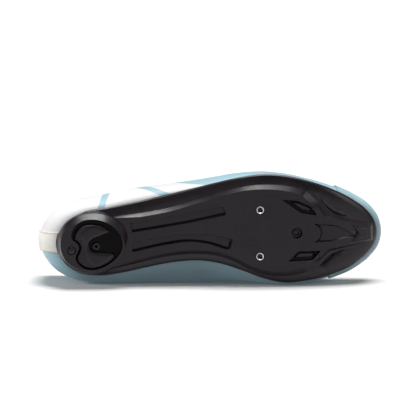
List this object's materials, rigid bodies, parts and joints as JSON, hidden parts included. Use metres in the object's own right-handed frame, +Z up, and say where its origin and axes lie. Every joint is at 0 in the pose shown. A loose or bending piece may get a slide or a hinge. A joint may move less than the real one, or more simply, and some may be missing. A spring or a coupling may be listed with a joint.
{
  "type": "cycling shoe",
  "caption": "Road cycling shoe for the right foot with a stiff moulded sole, a heel pad, cleat nuts, strap closure and a hollow upper, lying on its inner side",
  "frame": {"origin": "middle of the bounding box in plan, at the floor that the shoe lies on", "axes": "+X from the heel to the toe, -Y out of the sole, +Z up from the floor, towards the outer side of the foot"},
  "size_m": [0.2808, 0.0902, 0.091],
  "materials": {
    "plate": "black glass filled nylon, satin",
    "tread": "black moulded rubber",
    "black_steel": "blackened",
    "steel": "zinc plated",
    "upper": "synthetic microfibre, pale teal with a white outer quarter",
    "guard": "soft polyurethane, pale teal",
    "webbing": "off-white webbing with beige piping",
    "footbed": "dark foam with a cloth face",
    "tongue": "padded mesh",
    "strap": "plain synthetic strap with a hook-and-loop back"
  },
  "bodies": {
    "root": {"outsole": "plate", "heel_tread": "tread", "toe_tread": "tread", "heel_peg": "tread", "heel_screw": "black_steel", "cleat_nut_outer": "steel", "cleat_nut_inner": "steel", "cleat_nut_front": "black_steel", "upper": "upper", "toe_cap": "guard", "heel_strip": "webbing", "insole": "footbed", "tongue": "tongue", "strap_upper": "strap", "strap_lower": "strap"}
  },
  "joints": []
}
